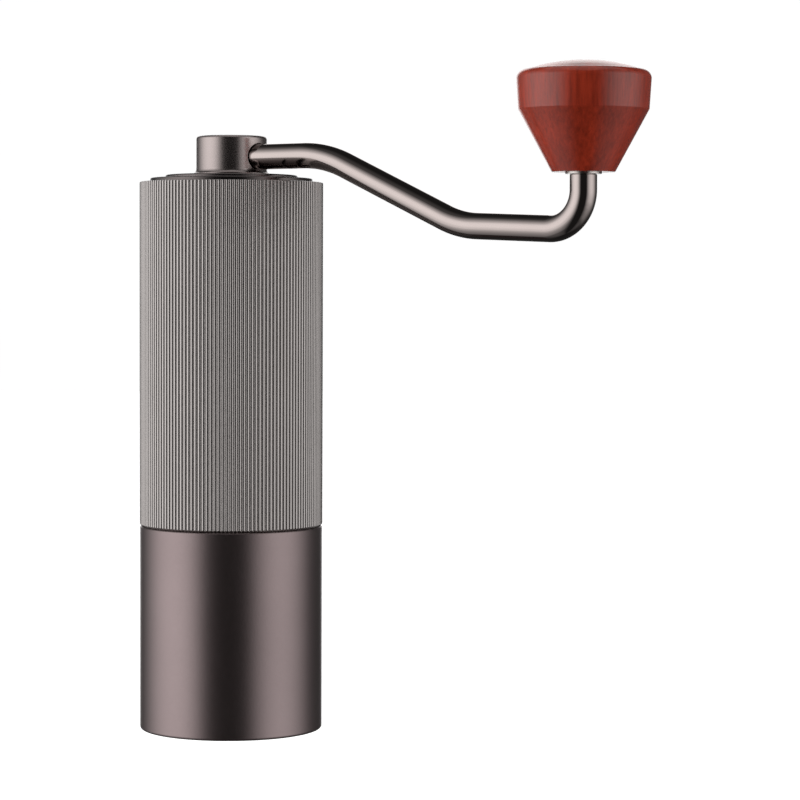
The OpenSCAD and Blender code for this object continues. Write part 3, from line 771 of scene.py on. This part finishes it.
class GRINDER_OT_lid(bpy.types.Operator):
    """Turn the lid with its flange, plug skirt and boss"""

    bl_idname = "grinder.lid"
    bl_label = "Lid"

    def execute(self, context):
        disc_r, disc_z = 18.75, LID_HIGH.z
        flange_r, flange_z = LID_HIGH.x, LEDGES["lid"] + 2.3
        plug_r, inner_r, plug_z = 22.2, 19, LID_LOW.z
        boss_r, boss_z = 11, span("lid_bush")[0].z
        hole_r = span("lid_bush")[1].x + 0.01
        seal_low, seal_high = span("lid_seal")
        groove_r, groove_low, groove_high = 20.6, seal_low.z - SEAL_GAP, seal_high.z + SEAL_GAP
        corners = [
            (hole_r, disc_z, 0.2), (disc_r, disc_z, 0.55), (disc_r, flange_z, 0.15),
            (flange_r, flange_z, 0.35), (flange_r, LEDGES["lid"], 0.1), (plug_r, LEDGES["lid"], 0.1),
            (plug_r, groove_high, 0.1), (groove_r, groove_high, 0.1), (groove_r, groove_low, 0.1),
            (plug_r, groove_low, 0.1), (plug_r, plug_z, 0.3), (inner_r, plug_z, 0.2),
            (inner_r, LEDGES["lid"], 0.6),
            (boss_r, LEDGES["lid"], 0.4), (boss_r, boss_z, 0.3), (hole_r, boss_z, 0.2),
        ]
        bm = turned(rounded(corners, 4), even_angles(240))
        piece("turned_lid", bm, "lid", finish("lid_aluminium"), ["lid"])
        return {"FINISHED"}


class GRINDER_OT_hub(bpy.types.Operator):
    """Turn the crank hub and cross drill it for the rod and its grub screw"""

    bl_idname = "grinder.hub"
    bl_label = "Crank hub"

    def execute(self, context):
        hub_r, foot_r, stem_r = 10, HUB_HIGH.x, 7
        low, foot_z, top = HUB_LOW.z, LID_HIGH.z + 0.1, HUB_HIGH.z
        socket_high = span("drive_socket")[1]
        socket_r, socket_top = socket_high.x + 0.01, socket_high.z
        clip_low, clip_high = span("hub_circlip")
        groove_low, groove_high, groove_r = clip_low.z - 0.05, clip_high.z + 0.05, stem_r - 0.5
        flare = [
            (hub_r + (foot_r - hub_r) * (1 - math.sin(a)), foot_z + 0.35 + 1.5 * (1 - math.cos(a)), 0)
            for a in (math.radians(d) for d in range(90, -1, -15))
        ]
        corners = [
            (0, top, 0), (hub_r, top, 0.9), *flare, (foot_r, foot_z, 0.1), (stem_r, foot_z, 0),
            (stem_r, groove_high, 0), (groove_r, groove_high, 0), (groove_r, groove_low, 0),
            (stem_r, groove_low, 0), (stem_r, low, 0.3), (socket_r, low, 0.2),
            (socket_r, socket_top, 0), (0, socket_top, 0),
        ]
        bm = turned(rounded(corners, 6), even_angles(192))
        dyed = finish("hub_aluminium")
        obj = piece("drilled_hub", bm, "crank", dyed, ["crank_hub"], False)
        rod_r = context.scene.grinder_crank.rod / MM / 2
        level = top - ROD_UNDER_TOP
        end, mouth, outside = ARM_LOW.x, 8.4, 12
        snug_r, mouth_r, grub_r = rod_r + 0.01, rod_r + 0.33, 2
        steps = [(0, snug_r), (mouth - end, snug_r), (mouth - end, mouth_r), (outside - end, mouth_r)]
        cuts = [
            drill((end, 0, level), (1, 0, 0), steps),
            drill((0, 0, level), (0, 1, 0), [(0, grub_r), (outside, grub_r)]),
        ]
        for k, cut in enumerate(cuts):
            tool = obj.modifiers.new(f"drill_{k}", "BOOLEAN")
            tool.object = cut
            tool.solver = "EXACT"
        settle(obj)
        for cut in cuts:
            bpy.data.objects.remove(cut)
        return {"FINISHED"}


class GRINDER_OT_bent_rod(bpy.types.Operator):
    """Bend the crank rod, with its turned pin at the knob end"""

    bl_idname = "grinder.bent_rod"
    bl_label = "Bent rod"

    def execute(self, context):
        rod_r = context.scene.grinder_crank.rod / MM / 2
        level = HUB_HIGH.z - ROD_UNDER_TOP
        low = ARM_LOW.z + 3.2
        reach = KNOB_X
        pin_z = SLEEVE_LOW.z - 0.1
        # where the rod would turn sharply, and the radius that it is bent to there
        corners = [
            (Vector((ARM_LOW.x, 0, level)), 0),
            (Vector((reach * 0.2855, 0, level)), 37),
            (Vector((reach * 0.671, 0, low + 1.45)), 30),
            (Vector((reach, 0, low)), 10),
            (Vector((reach, 0, pin_z)), 0),
        ]
        stations = [(corners[0][0], corners[1][0] - corners[0][0])]
        for (before, _), (here, bend), (after, _) in zip(corners, corners[1:], corners[2:]):
            into, out = (here - before).normalized(), (after - here).normalized()
            turn = into.angle(out)
            axis = into.cross(out).normalized()
            cut = bend * math.tan(turn / 2)
            start = here - into * cut
            centre = start + axis.cross(into) * bend
            steps = max(8, round(math.degrees(turn) / 2))
            for k in range(steps + 1):
                spin = Quaternion(axis, turn * k / steps)
                stations.append((centre + spin @ (start - centre), spin @ into))
        up = Vector((0, 0, 1))
        edge, pin_r, chamfer = 0.15, 3.0, 0.3
        profile = [
            (pin_z - edge, rod_r), (pin_z, rod_r - edge), (pin_z, pin_r), (ARM_HIGH.z - chamfer, pin_r),
            (ARM_HIGH.z, pin_r - chamfer),
        ]
        plain = len(stations)
        stations += [(Vector((reach, 0, z)), up) for z, _ in profile]
        bm = swept(stations, lambda i: rod_r if i < plain else profile[i - plain][1], 64)
        piece("bent_rod", bm, "crank", finish("rod_steel"), ["crank_arm"])
        return {"FINISHED"}


class GRINDER_OT_turned_knob(bpy.types.Operator):
    """Turn the wooden knob and the plug in its top"""

    bl_idname = "grinder.turned_knob"
    bl_label = "Turned knob"

    def execute(self, context):
        sizes = context.scene.grinder_crank
        foot_r = sizes.knob_foot / MM / 2
        band_z = KNOB_LOW.z + sizes.knob_band / MM
        edge, dome = sizes.knob_edge / MM, sizes.knob_dome / MM
        top = CAP_HIGH.z
        edge_r = KNOB_R - edge
        edge_z = top - dome - edge
        ball = (edge_r ** 2 + dome ** 2) / 2 / dome
        recess_r = (CAP_HIGH.x - CAP_LOW.x) / 2 + 0.01
        sleeve_r = (SLEEVE_HIGH.x - SLEEVE_LOW.x) / 2 + 0.01

        def dome_z(r):
            return top - ball + math.sqrt(ball ** 2 - r ** 2)

        arc = [
            (edge_r + edge * math.cos(a), edge_z + edge * math.sin(a), 0)
            for a in (math.radians(d) for d in range(0, 82, 9))
        ]
        rings = [edge_r * k / 12 for k in range(12, 0, -1)]
        crown = [(r, dome_z(r), 0) for r in rings if r > recess_r + 0.4]
        corners = [
            (sleeve_r, KNOB_LOW.z, 0), (foot_r, KNOB_LOW.z, 0.3), (KNOB_R - 0.5, band_z, 0.5), *arc, *crown,
            (recess_r, dome_z(recess_r), 0.12), (recess_r, SLEEVE_HIGH.z, 0), (sleeve_r, SLEEVE_HIGH.z, 0),
        ]
        centre = (KNOB_X, 0)
        bm = turned(rounded(corners, 4), even_angles(192), centre)
        piece("turned_knob", bm, "knob", finish("knob_wood"), ["knob"])
        plug_r = recess_r - 0.02
        plug = [
            (0, CAP_LOW.z, 0), (plug_r, CAP_LOW.z, 0.2), (plug_r, dome_z(plug_r), 0.12),
            *[(plug_r * k / 5, dome_z(plug_r * k / 5), 0) for k in range(4, -1, -1)],
        ]
        bm = turned(rounded(plug, 3), even_angles(96), centre)
        piece("knob_plug", bm, "knob", finish("knob_wood"), ["knob_cap"])
        return {"FINISHED"}


class GRINDER_OT_springs(bpy.types.Operator):
    """Wind the burr spring with closed ends"""

    bl_idname = "grinder.springs"
    bl_label = "Springs"

    def execute(self, context):
        wire, turns, steps = 0.7, 5, 40
        mean_r = SPRING_HIGH.x - wire / 2
        low, high = SPRING_LOW.z + wire / 2, SPRING_HIGH.z - wire / 2
        # turns that lie flat at each end
        flat = 0.8
        stations = []
        for k in range(turns * steps + 1):
            t = k / steps
            climb = min(max((t - flat) / (turns - 2 * flat), 0), 1)
            across, along_y = math.cos(t * TAU), math.sin(t * TAU)
            point = Vector((mean_r * across, mean_r * along_y, low + (high - low) * climb))
            stations.append((point, Vector((-along_y, across, 0.02))))
        bm = swept(stations, wire / 2, 12)
        coil = piece("burr_coil", bm, None, finish("spring_steel"), ["burr_spring"])
        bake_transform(coil)
        return {"FINISHED"}


class GRINDER_OT_frame_finishes(bpy.types.Operator):
    """Give every carried-over CAD part the finish of its slot"""

    bl_idname = "grinder.frame_finishes"
    bl_label = "Frame finishes"

    def execute(self, context):
        for part in frame["record"]["subparts"]:
            node = frame["nodes"][part["node"]]
            node.data.materials.clear()
            node.data.materials.append(finish(part["material_slot"]))
        return {"FINISHED"}


class GRINDER_OT_studio(bpy.types.Operator):
    """Set the floor, the background, the lights and the camera"""

    bl_idname = "grinder.studio"
    bl_label = "Studio"

    def execute(self, context):
        studio = context.scene.grinder_studio
        floor()
        background()
        overhead(studio)
        softboxes(studio)
        camera(studio)
        context.scene.view_settings.view_transform = "Standard"
        return {"FINISHED"}


def floor():
    """A pale painted board, lit from beneath so that it is even to its far edge and takes no shadow."""
    bm = bmesh.new()
    bmesh.ops.create_circle(bm, cap_ends=True, segments=96, radius=FLOOR_R)
    mesh = bpy.data.meshes.new("floor")
    bm.to_mesh(mesh)
    bm.free()
    board = bpy.data.objects.new("floor", mesh)
    bpy.context.scene.collection.objects.link(board)
    board.location.z = -FLOOR_DROP
    material, tree, shader, place = blank("painted_board_white")
    roll = add(tree, "ShaderNodeTexNoise", {"Vector": place, "Scale": per_mm(2), "Detail": 2.0})
    paint = add(tree, "ShaderNodeMix", {
        "Factor": roll.outputs["Fac"], 6: linear("#f4f3f1"), 7: linear("#fbfaf9"),
    }, data_type="RGBA")
    tree.links.new(paint.outputs[2], shader.inputs["Base Color"])
    shader.inputs["Roughness"].default_value = 0.8
    shader.inputs["Emission Color"].default_value = linear("#ffffff")
    shader.inputs["Emission Strength"].default_value = 0.82
    mesh.materials.append(material)
    board.visible_glossy = False
    board.visible_diffuse = False
    board.visible_shadow = False


def background():
    """A pale dome that only the camera sees."""
    bm = bmesh.new()
    bmesh.ops.create_uvsphere(bm, u_segments=48, v_segments=24, radius=BACKGROUND_R)
    mesh = bpy.data.meshes.new("background")
    bm.to_mesh(mesh)
    bm.free()
    dome = bpy.data.objects.new("background", mesh)
    bpy.context.scene.collection.objects.link(dome)
    material, tree, shader, place = blank("background_paper")
    shader.inputs["Base Color"].default_value = (0, 0, 0, 1)
    shader.inputs["Emission Color"].default_value = linear("#ffffff")
    shader.inputs["Emission Strength"].default_value = 1.0
    mesh.materials.append(material)
    dome.visible_glossy = False
    dome.visible_diffuse = False
    dome.visible_shadow = False
    dome.visible_transmission = False


def overhead(studio):
    """A wide diffuser above, shielded from the polished rod, whose upper side stays black."""
    light = bpy.data.lights.new("overhead_diffuser", "AREA")
    light.size = OVERHEAD_SIZE
    light.energy = studio.overhead * math.pi * light.size ** 2
    lamp = bpy.data.objects.new("overhead_diffuser", light)
    bpy.context.scene.collection.objects.link(lamp)
    lamp.location = (0, 0, OVERHEAD_Z)
    lamp.visible_camera = False
    shielded = bpy.data.collections.new("shielded_from_overhead")
    shielded.objects.link(bpy.data.objects["bent_rod"])
    lamp.light_linking.receiver_collection = shielded
    shielded.collection_objects[0].light_linking.link_state = "EXCLUDE"


def along(tree, value, degrees, levels):
    """A level that follows an angle, through points of (degrees, level)."""
    low, high = degrees
    place = add(tree, "ShaderNodeMapRange", {
        "Value": value, "From Min": math.radians(low), "From Max": math.radians(high),
    })
    ramp = add(tree, "ShaderNodeValToRGB", {"Fac": place.outputs["Result"]})
    ramp.color_ramp.interpolation = "EASE"
    stops = ramp.color_ramp.elements
    for k, (angle, level) in enumerate(levels):
        at = (angle - low) / (high - low)
        stop = stops[k] if k < 2 else stops.new(at)
        stop.position = at
        stop.color = (level, level, level, 1)
    return ramp.outputs["Color"]


# Levels of the two tall softboxes round the object, by degrees to the right of the camera. Each is
# brightest in its middle and fades to its edges, and the gap between them stays dark.
SOFTBOX_AZIMUTHS = (
    (-180, 0.02), (-160, 0.02), (-146, 0.04), (-132, 0.15), (-118, 0.42), (-101, 0.8), (-86, 0.98),
    (-73, 1.0), (-59, 0.9), (-49, 0.66), (-41, 0.36), (-34, 0.12), (-27, 0.0), (20, 0.0), (28, 0.2),
    (37, 0.45), (50, 0.7), (64, 0.8), (78, 0.72), (90, 0.54), (102, 0.3), (114, 0.1), (126, 0.03),
    (180, 0.02),
)
# The same by degrees above the horizon, with the bounce from the floor below it.
SOFTBOX_HEIGHTS = (
    (-90, 0.03), (-60, 0.08), (-46, 0.25), (-36, 0.34), (-28, 0.5), (-17, 0.8), (0, 1.0), (14, 1.0),
    (22, 0.9), (31, 0.6), (38, 0.42), (47, 0.2), (56, 0.05), (90, 0.0),
)
# The paper behind the object, which the edges and the knob's dome pick up.
BACKDROP_AZIMUTHS = ((-180, 1.0), (-170, 1.0), (-158, 0.0), (158, 0.0), (170, 1.0), (180, 1.0))
BACKDROP_HEIGHTS = ((-90, 0.0), (-12, 0.0), (-6, 1.0), (24, 1.0), (34, 0.0), (90, 0.0))


def softboxes(studio):
    """A dark room with two tall softboxes and paper behind the object, as the surroundings."""
    world = bpy.data.worlds.new("studio_surroundings")
    bpy.context.scene.world = world
    world.use_nodes = True
    tree = world.node_tree
    tree.nodes.clear()
    towards = add(tree, "ShaderNodeTexCoord", {}).outputs["Generated"]
    turned_to = add(tree, "ShaderNodeVectorRotate", {"Vector": towards, "Angle": -studio.azimuth},
                    rotation_type="Z_AXIS")
    parts = add(tree, "ShaderNodeSeparateXYZ", {"Vector": turned_to.outputs["Vector"]}).outputs
    ahead = add(tree, "ShaderNodeMath", {0: parts["Y"], 1: -1.0}, operation="MULTIPLY").outputs[0]
    azimuth = add(tree, "ShaderNodeMath", {0: parts["X"], 1: ahead}, operation="ARCTAN2").outputs[0]
    height = add(tree, "ShaderNodeMath", {0: parts["Z"]}, operation="ARCSINE").outputs[0]
    glow = studio.ambient
    for azimuths, heights, level in (
        (SOFTBOX_AZIMUTHS, SOFTBOX_HEIGHTS, studio.softbox),
        (BACKDROP_AZIMUTHS, BACKDROP_HEIGHTS, studio.backdrop),
    ):
        across = along(tree, azimuth, (-180, 180), azimuths)
        upright = along(tree, height, (-90, 90), heights)
        box = add(tree, "ShaderNodeMath", {0: across, 1: upright}, operation="MULTIPLY").outputs[0]
        glow = add(tree, "ShaderNodeMath", {0: box, 1: level, 2: glow}, operation="MULTIPLY_ADD").outputs[0]
    light = add(tree, "ShaderNodeBackground", {"Strength": glow})
    add(tree, "ShaderNodeOutputWorld", {"Surface": light.outputs["Background"]})


def camera(studio):
    """The camera, looking past the body's axis towards the middle of the crank."""
    a = studio.azimuth
    towards = Vector((-math.sin(a), math.cos(a), 0))
    right = Vector((math.cos(a), math.sin(a), 0))
    level = towards * math.cos(studio.pan) + right * math.sin(studio.pan)
    ahead = level * math.cos(studio.tilt) - Vector((0, 0, math.sin(studio.tilt)))
    data = bpy.data.cameras.new("camera")
    data.lens = studio.lens
    data.sensor_width = SENSOR_MM
    data.clip_start, data.clip_end = 0.05, 30
    view = bpy.data.objects.new("camera", data)
    bpy.context.scene.collection.objects.link(view)
    view.rotation_mode = "QUATERNION"
    view.location = Vector((0, 0, studio.height)) - towards * studio.distance
    view.rotation_quaternion = ahead.to_track_quat("-Z", "Y") @ Quaternion((0, 0, 1), studio.roll)
    bpy.context.scene.camera = view


# Sidebar and registration


class GRINDER_PT_sidebar(bpy.types.Panel):
    """Lists the grinder's pieces and settings"""

    bl_idname = "GRINDER_PT_sidebar"
    bl_label = "Hand Grinder"
    bl_space_type = "VIEW_3D"
    bl_region_type = "UI"
    bl_category = "Hand Grinder"

    def draw(self, context):
        layout = self.layout
        for operator in OPERATORS:
            layout.operator(operator.bl_idname)
        for group, attribute in zip(GROUPS, ATTRIBUTES):
            box = layout.box()
            for prop in group.__annotations__:
                box.prop(getattr(context.scene, attribute), prop)


GROUPS = (GrinderBody, GrinderCrank, GrinderFinish, GrinderStudio)
ATTRIBUTES = ("grinder_body", "grinder_crank", "grinder_finish", "grinder_studio")
OPERATORS = (
    GRINDER_OT_frame_finishes,
    GRINDER_OT_fluted_body,
    GRINDER_OT_catch_cup,
    GRINDER_OT_lid,
    GRINDER_OT_hub,
    GRINDER_OT_bent_rod,
    GRINDER_OT_turned_knob,
    GRINDER_OT_springs,
    GRINDER_OT_studio,
)


def register():
    for cls in (*GROUPS, *OPERATORS, GRINDER_PT_sidebar):
        bpy.utils.register_class(cls)
    for group, attribute in zip(GROUPS, ATTRIBUTES):
        setattr(bpy.types.Scene, attribute, bpy.props.PointerProperty(type=group))


def unregister():
    for attribute in ATTRIBUTES:
        delattr(bpy.types.Scene, attribute)
    for cls in reversed((*GROUPS, *OPERATORS, GRINDER_PT_sidebar)):
        bpy.utils.unregister_class(cls)


def main():
    """Builds every piece."""
    register()
    bpy.ops.grinder.frame_finishes()
    bpy.ops.grinder.fluted_body()
    bpy.ops.grinder.catch_cup()
    bpy.ops.grinder.lid()
    bpy.ops.grinder.hub()
    bpy.ops.grinder.bent_rod()
    bpy.ops.grinder.turned_knob()
    bpy.ops.grinder.springs()
    bpy.ops.grinder.studio()


if __name__ == "__main__":
    main()
